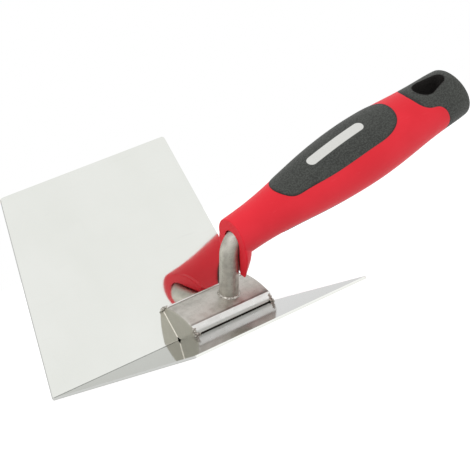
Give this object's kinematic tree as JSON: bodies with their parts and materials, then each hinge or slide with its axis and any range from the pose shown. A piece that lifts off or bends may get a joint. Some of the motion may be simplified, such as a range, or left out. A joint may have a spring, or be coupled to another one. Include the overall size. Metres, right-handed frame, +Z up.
{
  "type": "inside corner trowel",
  "caption": "Inside corner trowel: a sheet folded into two wings, a welded saddle and bent shank, and a two-component handle with a hanging hole.",
  "frame": {"origin": "middle of the bounding box's base, on the surface the floor wing lies on", "axes": "+X along the fold from the front tip to the handle, +Z up, the standing wing on the +Y side"},
  "size_m": [0.2106, 0.1032, 0.0817],
  "materials": {
    "stainless_sheet": "polished",
    "pressed_steel": "satin",
    "bar_steel": "satin",
    "weld_metal": "as welded",
    "red_plastic": "satin moulded",
    "soft_grip": "matte moulded"
  },
  "bodies": {
    "root": {"blade": "stainless_sheet", "saddle": "pressed_steel", "shank": "bar_steel", "shank_weld": "weld_metal", "corner_tacks": "weld_metal", "handle_core": "red_plastic", "top_grip_pad": "soft_grip", "bottom_grip_pad": "soft_grip", "butt_cap": "soft_grip"}
  },
  "joints": []
}
